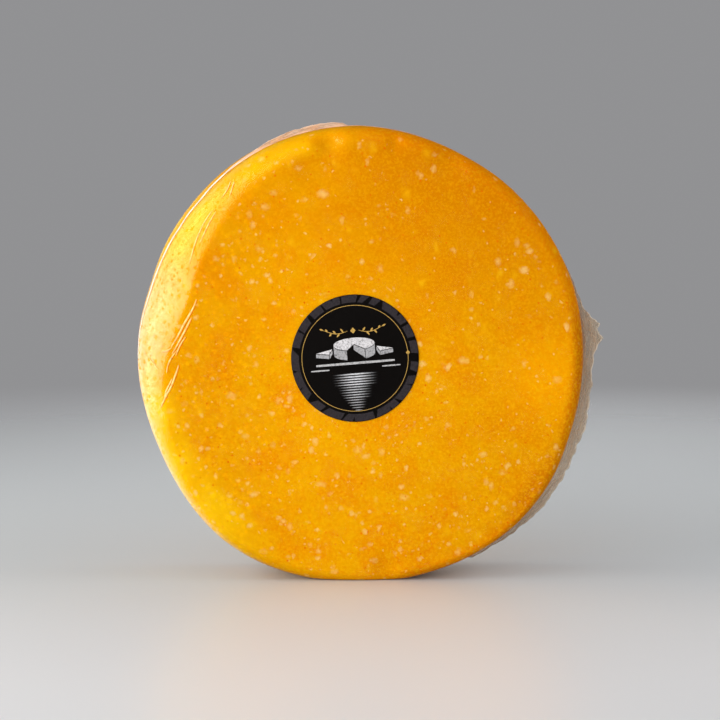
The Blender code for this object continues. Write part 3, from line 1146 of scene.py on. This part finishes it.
def back_ridges(dice):
    """Long creases on the back, near its edge."""
    creases = []
    for _ in range(BACK_CREASES):
        angle = dice.uniform(*BACK_CREASE_ANGLES)
        row = dice.uniform(*BACK_CREASE_ROWS)
        turn = dice.uniform(*BACK_CREASE_TURNS)
        drift = dice.uniform(*BACK_CREASE_DRIFTS)
        corners = ((angle, row), (angle + turn * 0.5, row + drift * 0.3), (angle + turn, row + drift))
        creases.append(faint_ridge(corners, 18, dice.uniform(*BACK_CREASE_WIDTHS)))
    return creases


def build_creases():
    """Fine wrinkles of the film: named ones down the left, each with a painted shadow line beside it,
    strands along the welded edge, and others across the rim and on the back."""
    creases, fold_shadows = left_ridges()
    dice = random.Random(CREASE_SEED)
    faint = rim_ridges(dice) + back_ridges(dice)
    add_ridges("film_creases", creases, crease_material("film_crease", CREASE_PALE, 0.80))
    add_ridges("film_strands", strand_ridges(), crease_material("film_strand", CREASE_BEIGE, 0.60))
    add_ridges("film_wrinkles", faint, crease_material("film_faint_crease", CREASE_FAINT, 0.42))
    # painted shadow lines beside the creases
    add_ridges("film_fold_shadows", fold_shadows, fold_shadow_material())


# ---------------------------------------------------------------- the label


def label_point(u, v, lift):
    """A point u to the right of the label's middle and v up it, lifted off the film."""
    turn = math.radians(LABEL_TURN)
    x = LABEL_X + u * math.cos(turn) - v * math.sin(turn)
    z = LABEL_Z + u * math.sin(turn) + v * math.cos(turn)
    angle, row = front_place(x, z - CENTRE_HEIGHT)
    return Vector((x, skin(angle, row).y - LABEL_OVER_FILM - lift, z))


LABEL_AROUND = 180
LABEL_EDGE = 0.0001  # how far in from the edge its rounding starts
LABEL_FRONT_RINGS = 26
LABEL_BACK_RINGS = 12


def build_label():
    """The label's disc: rings out to a rounded edge, and a plain back."""
    flat = LABEL_RADIUS - LABEL_EDGE
    rings = [(radius, LABEL_THICKNESS) for radius in spread(0, flat, LABEL_FRONT_RINGS)]
    rings += [(LABEL_RADIUS, LABEL_THICKNESS * 0.5), (flat, 0.0)]
    rings += [(radius, 0.0) for radius in spread(flat, 0, LABEL_BACK_RINGS)[:-1]]
    turns = [2 * math.pi * step / LABEL_AROUND for step in range(LABEL_AROUND)]
    loops = []
    for radius, lift in rings:
        loops.append([label_point(radius * math.cos(turn), radius * math.sin(turn), lift) for turn in turns])
    middle = label_point(0, 0, LABEL_THICKNESS)
    label = ring_surface("label_disc", loops, middle, label_point(0, 0, 0), [label_material()])
    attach(label, "root")
    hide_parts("label")


# ---------------------------------------------------------------- the label's print

PRINT_LIFT = 0.00003
PRINT_THICKNESS = 0.00003

# The print's sizes are in millimetres from the label's middle, and its angles in degrees
BORDER_SEED = 11
BORDER_RADII = (30.7, 34.7)
BORDER_LAST_START = 352
BORDER_END = 356
BORDER_LENGTHS = (7, 19)
BORDER_SLANTS = (-5, 6)
BORDER_END_SLANT = 0.6  # how much of its slant a dash has at its end
BORDER_GAPS = (1.2, 3.6)
RING_RADIUS = 29.1
RING_WIDTH = 0.28
SPRIGS_AT = (0, 15.3)
ICON_AT = (0, 5.2)
ICON_WIDTH = 22.5
ICON_CUT = (-112, -58)
WEDGES_AT = (16.6, 3.6)
WEDGE_WIDTH = 9.0
BOARD_HALF = 21.5
BOARD_HEIGHT = -2.6
SHELF_SPAN = (14.5, 24.5)
SHELF_HEIGHT = -5.4
HATCH_LINES = 15
HATCH_LOT = 5
HATCH_TOP = -8.6
HATCH_SPACING = 1.42
HATCH_LAST_HALF = 2.2  # half the last line's length, and how much more the top line has
HATCH_MORE = 13.5
HATCH_SHRINK = 0.8
HATCH_WIDTHS = (0.78, 0.30)  # the top line's width, and how much thinner the last one is
MID_GREY = (0.36, 0.36, 0.375, 1)
BOARD_GREY = (0.45, 0.45, 0.46, 1)
HATCH_GREYS = ((0.60, 0.61, 0.64, 1), (0.46, 0.47, 0.49, 1), (0.36, 0.36, 0.38, 1))
HATCH_FADES = ((0.001, 0.013), (0.001, 0.010), (0.001, 0.007))  # metres to the sides
CHARCOAL = (0.031, 0.026, 0.030, 1)
GOLD = (0.50, 0.31, 0.075, 1)
PALE = (0.62, 0.61, 0.63, 1)


def prism(strips):
    """Points and faces of closed thin prisms over strips. A strip is a list of (left, right) pairs
    of flat points in millimetres on the label."""
    points = []
    faces = []
    for strip in strips:
        first = len(points)
        for left, right in strip:
            for lift in (PRINT_LIFT, PRINT_LIFT + PRINT_THICKNESS):
                for u, v in (left, right):
                    points.append(label_point(u * MM, v * MM, LABEL_THICKNESS + lift))
        for index in range(len(strip) - 1):
            low_left, low_right, high_left, high_right = (first + 4 * index + step for step in range(4))
            faces.append((high_left, high_right, high_right + 4, high_left + 4))
            faces.append((low_right, low_left, low_left + 4, low_right + 4))
            faces.append((low_left, high_left, high_left + 4, low_left + 4))
            faces.append((high_right, low_right, low_right + 4, high_right + 4))
        last = first + 4 * (len(strip) - 1)
        faces.append((first, first + 1, first + 3, first + 2))
        faces.append((last + 1, last, last + 2, last + 3))
    return points, faces


def stroke(path, width, taper=0.0):
    """A strip along a path, as wide as width, and narrower by taper (0 to 1) at its ends."""
    strip = []
    for index, (u, v) in enumerate(path):
        before = path[max(index - 1, 0)]
        after = path[min(index + 1, len(path) - 1)]
        way = Vector((after[0] - before[0], after[1] - before[1])).normalized()
        share = index / (len(path) - 1)
        half = width / 2 * (1 - taper * abs(2 * share - 1) ** 2)
        strip.append(((u - way.y * half, v + way.x * half), (u + way.y * half, v - way.x * half)))
    return strip


def line(start, end, steps=8):
    """A straight path."""
    return [part_way(start, end, step / steps) for step in range(steps + 1)]


def arc(centre, radii, start, end, steps):
    """A path along an ellipse between two angles in degrees."""
    path = []
    for step in range(steps + 1):
        turn = math.radians(start + (end - start) * step / steps)
        path.append((centre[0] + radii[0] * math.cos(turn), centre[1] + radii[1] * math.sin(turn)))
    return path


def part_way(first, second, share):
    """The point this share of the way from the first to the second."""
    return first[0] + (second[0] - first[0]) * share, first[1] + (second[1] - first[1]) * share


def between(first, second, parts=1):
    """Strips that fill the room between two paths of as many points."""
    strips = []
    for part in range(parts):
        near, far = part / parts, (part + 1) / parts
        strips.append([(part_way(a, b, near), part_way(a, b, far)) for a, b in zip(first, second)])
    return strips


def border_blocks():
    """Slanted dashes of uneven length round the label's rim."""
    dice = random.Random(BORDER_SEED)
    inner_radius, outer_radius = BORDER_RADII
    strips = []
    at = 0.0
    while at < BORDER_LAST_START:
        length = dice.uniform(*BORDER_LENGTHS)
        slant = dice.uniform(*BORDER_SLANTS)
        end = min(at + length, BORDER_END)
        inner = arc((0, 0), (inner_radius, inner_radius), at + slant, end + slant * BORDER_END_SLANT, 8)
        outer = arc((0, 0), (outer_radius, outer_radius), at, end, 8)
        strips += between(inner, outer, 4)
        at = end + dice.uniform(*BORDER_GAPS)
    return strips


def cheese_icon(centre, width, cut):
    """(light strips, mid strips) of a small wheel seen from above its edge with a wedge cut out."""
    across, deep, tall = width / 2, width * 0.155, width * 0.24
    u, v = centre
    start, end = cut
    top_of = (u, v + tall / 2)
    rim = arc(top_of, (across, deep), end, 360 + start, 48)
    light = between([top_of] * len(rim), rim, 3)
    mid = []
    for first, last in ((180, 360 + start), (360 + end, 360)):
        upper = arc((u, v + tall / 2 - 0.35), (across, deep), first, last, 24)
        lower = arc((u, v - tall / 2), (across, deep), first, last, 24)
        mid += between(upper, lower, 3)
    turn = math.radians(end)  # the cut's face, at its right
    left, top, bottom = u - 0.3, v + tall / 2, v - tall / 2
    right, out = left + across * math.cos(turn), deep * math.sin(turn)
    upper = line((left, top - 0.3), (right, top + out - 0.3), 4)
    lower = line((left, top - 3.2), (right, bottom + out + 0.4), 4)
    mid += between(upper, lower)
    return light, mid


def wedge_icon(centre, width, mirror=1):
    """(light strips, mid strips) of a cut wedge lying on its side."""
    u, v = centre
    tall = width * 0.42
    tip = (u - mirror * width / 2, v + tall * 0.15)
    heel = (u + mirror * width / 2, v + tall * 0.62)
    near = (u + mirror * width * 0.28, v - tall * 0.12)
    light = between(line(tip, heel), line(tip, near), 1)
    drop = tall * 0.62
    side = between(line((tip[0], tip[1] - 0.35), (near[0], near[1] - 0.35)),
                   line((tip[0], tip[1] - drop), (near[0], near[1] - drop)), 2)
    end = between(line((near[0] + mirror * 0.3, near[1] - 0.2), (heel[0], heel[1] - 0.35)),
                  line((near[0] + mirror * 0.3, near[1] - drop), (heel[0], heel[1] - drop)), 2)
    return light, side + end


def leaf(root, angle, length, width):
    """A pointed leaf from its root."""
    turn = math.radians(angle)
    tip = (root[0] + length * math.cos(turn), root[1] + length * math.sin(turn))
    return stroke(line(root, tip, 8), width, 1.0)


def sprigs(centre):
    """Two mirrored sprigs with a diamond between them."""
    u, v = centre
    strips = between(line((u, v + 1.7), (u + 1.5, v), 3), line((u - 1.5, v), (u, v - 1.7), 3))
    for side in (-1, 1):
        stem = []
        for step in range(25):
            share = step / 24
            stem.append((u + side * (3.0 + 13.0 * share), v - 1.5 * math.sin(share * 3.4) + 0.8 * share))
        strips.append(stroke(stem, 0.42, 0.6))
        for index in range(4, 24, 4):
            lean = 52 if index % 8 else -48
            angle = lean if side > 0 else 180 - lean
            strips.append(leaf(stem[index], angle, 3.0 - 0.05 * index, 0.95))
        strips.append(leaf(stem[-1], 24 if side > 0 else 156, 2.4, 0.9))
    return strips


def hatching():
    """Lines under the board that shorten downwards, in three fading lots."""
    lots = ([], [], [])
    for index in range(HATCH_LINES):
        share = index / (HATCH_LINES - 1)
        half = HATCH_MORE * (1 - share) ** HATCH_SHRINK + HATCH_LAST_HALF
        v = HATCH_TOP - HATCH_SPACING * index
        width = HATCH_WIDTHS[0] - HATCH_WIDTHS[1] * share
        lots[index // HATCH_LOT].append(stroke(line((-half, v), (half, v), 20), width, 0.9))
    return lots


def add_print(name, strips, material):
    """One colour of the label's print."""
    points, faces = prism(strips)
    shape = add_mesh(name, points, faces, [material])
    shape.data.shade_flat()
    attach(shape, "root")


def build_print():
    """A plain food label's print: dashes at the rim, a gold ring and sprigs, a cut cheese wheel
    between two wedges, a board with lines that fade out below it."""
    add_print("print_border", border_blocks(), print_material("ink_charcoal", CHARCOAL, 0.25))
    ring = stroke(arc((0, 0), (RING_RADIUS, RING_RADIUS), 0, 360, 180), RING_WIDTH)
    diamond = between(line((28.0, 0.9), (29.1, 2.3), 3), line((29.1, -0.5), (30.2, 0.9), 3))
    add_print("print_gold", [ring] + sprigs(SPRIGS_AT) + diamond, print_material("ink_gold", GOLD))
    light, mid = cheese_icon(ICON_AT, ICON_WIDTH, ICON_CUT)
    board = [stroke(line((-BOARD_HALF, BOARD_HEIGHT), (BOARD_HALF, BOARD_HEIGHT), 40), 1.3, 0.2)]
    near, far = SHELF_SPAN
    for side in (-1, 1):
        top, faces = wedge_icon((side * WEDGES_AT[0], WEDGES_AT[1]), WEDGE_WIDTH, -side)
        light += top
        mid += faces
        shelf = line((side * near, SHELF_HEIGHT), (side * far, SHELF_HEIGHT), 16)
        board.append(stroke(shelf, 0.8, 0.3))
    add_print("print_pale", light, print_material("ink_pale", PALE, 0.55))
    add_print("print_mid", mid, print_material("ink_mid", MID_GREY, 0.5))
    add_print("print_board", board, print_material("ink_board", BOARD_GREY, 0.4))
    for index, (strips, grey, fade) in enumerate(zip(hatching(), HATCH_GREYS, HATCH_FADES)):
        add_print(f"print_hatch_{index}", strips, print_material(f"ink_hatch_{index}", grey, 0.3, fade))


# ---------------------------------------------------------------- stage, light and camera

CAMERA_AZIMUTH = -1.5  # degrees, negative to the wheel's left
CAMERA_ELEVATION = 5.0
CAMERA_DISTANCE = 1.30
CAMERA_LENS = 116.0
AIM = Vector((0.0, 0.0, 0.1199))
AMBIENT = 0.50
AMBIENT_COLOUR = (0.97, 0.98, 1.0, 1)
BACKDROP = (0.285, 0.285, 0.293, 1)
WINDOW_WAY = (-0.90, 0.43, -0.08)  # towards the bright place that the film mirrors
WINDOW_GLOW = (0.50, 1.0, 0.0, 1.75)
BACK_GLOW = (0.0, 0.9, 0.0, 0.22)
# the floor's painted shade: paler in front, darker towards the back
FLOOR_NEAR = (0.66, 0.67, 0.69, 1)
FLOOR_FAR = (0.54, 0.57, 0.59, 1)
FLOOR_DEPTHS = (-0.30, 0.10)
FLOOR_FADE = (0.30, 1.15)
FLOOR_SURFACE = (0.38, 0.5)
FLOOR_HALF = 1.2
WHEEL_MIDDLE = (0, 0, 0.12)
FILL_WHITE = (1.0, 0.98, 0.96)
LIGHTS = (  # name, place, what it points at, width, height, power, colour, seen in reflections
    ("window", (-1.05, -0.30, 0.45), WHEEL_MIDDLE, 1.5, 1.2, 16, (1.0, 0.95, 0.88), True),
    ("front_fill", (-0.55, -1.25, 0.30), (0, 0, 0.1), 1.2, 0.5, 11.8, FILL_WHITE, False),
    ("right_fill", (1.10, -0.10, 0.75), WHEEL_MIDDLE, 1.0, 1.0, 5, FILL_WHITE, False),
    ("back_fill", (0.30, 1.20, 0.22), WHEEL_MIDDLE, 1.2, 0.4, 8, FILL_WHITE, False),
)


def look_at(thing, target):
    """Turns a camera or light, which look along their own -Z, to a point."""
    thing.rotation_euler = (target - thing.location).to_track_quat("-Z", "Y").to_euler()


def add_camera():
    """The camera at the photograph's viewing angle."""
    camera = bpy.data.objects.new("camera", bpy.data.cameras.new("camera"))
    azimuth, elevation = math.radians(CAMERA_AZIMUTH), math.radians(CAMERA_ELEVATION)
    level = math.cos(elevation)
    away = Vector((math.sin(azimuth) * level, -math.cos(azimuth) * level, math.sin(elevation)))
    camera.location = AIM + away * CAMERA_DISTANCE
    look_at(camera, AIM)
    camera.data.lens = CAMERA_LENS
    camera.data.clip_end = 20
    bpy.context.collection.objects.link(camera)
    bpy.context.scene.camera = camera


def add_light(name, place, target, width, height, power, colour, glossy):
    """A soft rectangular light."""
    data = bpy.data.lights.new(name, "AREA")
    data.shape = "RECTANGLE"
    data.size = width
    data.size_y = height
    data.energy = power
    data.color = colour
    light = bpy.data.objects.new(name, data)
    light.location = place
    look_at(light, Vector(target))
    light.visible_glossy = glossy
    light.visible_camera = False
    bpy.context.collection.objects.link(light)


def add_world():
    """Grey behind the object, an even light from all round, and what the film mirrors of the
    studio: dim at the back, and bright at the back on the left beside the window."""
    world = bpy.data.worlds.new("studio")
    world.use_nodes = True
    world.cycles.sampling_method = "NONE"
    bpy.context.scene.world = world
    tree = world.node_tree
    tree.nodes.clear()
    rays = node(tree, "ShaderNodeLightPath").outputs
    way = node(tree, "ShaderNodeTexCoord").outputs["Generated"]
    towards = node(tree, "ShaderNodeVectorMath", {0: way, 1: WINDOW_WAY}, operation="DOT_PRODUCT")
    glow = ramp(tree, towards.outputs["Value"], *WINDOW_GLOW)
    back = ramp(tree, parts_of(tree, way)[1], *BACK_GLOW)
    mirrored = product(tree, maths(tree, "ADD", glow, back), rays["Is Glossy Ray"])
    strength = maths(tree, "ADD", mirrored, product(tree, rays["Is Diffuse Ray"], AMBIENT))
    backdrop = node(tree, "ShaderNodeBackground", {"Color": BACKDROP})
    ambient = node(tree, "ShaderNodeBackground", {"Color": AMBIENT_COLOUR, "Strength": strength})
    output = tree.nodes.new("ShaderNodeOutputWorld")
    mix_shaders(tree, output, rays["Is Camera Ray"], ambient, backdrop)


def add_floor():
    """A pale floor with painted shade, darker towards the back, that fades into the backdrop away from the
    object.
    """
    material, tree, output = new_material("floor")
    place = object_place(tree)
    away = node(tree, "ShaderNodeVectorMath", {0: place}, operation="LENGTH").outputs["Value"]
    colour = mix_colour(tree, ramp(tree, parts_of(tree, place)[1], *FLOOR_DEPTHS), FLOOR_NEAR, FLOOR_FAR)
    clear = node(tree, "ShaderNodeBsdfTransparent")
    shader = principled(tree, colour, *FLOOR_SURFACE)
    mix_shaders(tree, output, ramp(tree, away, *FLOOR_FADE), shader, clear)
    mesh = bpy.data.meshes.new("floor")
    half = FLOOR_HALF
    corners = [(-half, -half, 0), (half, -half, 0), (half, half, 0), (-half, half, 0)]
    mesh.from_pydata(corners, [], [(0, 1, 2, 3)])
    mesh.materials.append(material)
    floor = bpy.data.objects.new("floor", mesh)
    floor.visible_glossy = False
    bpy.context.collection.objects.link(floor)


bpy.context.scene.view_settings.view_transform = "Standard"
add_camera()
add_world()
add_floor()
for light_settings in LIGHTS:
    add_light(*light_settings)
build_cheese()
build_film()
build_creases()
build_label()
build_print()
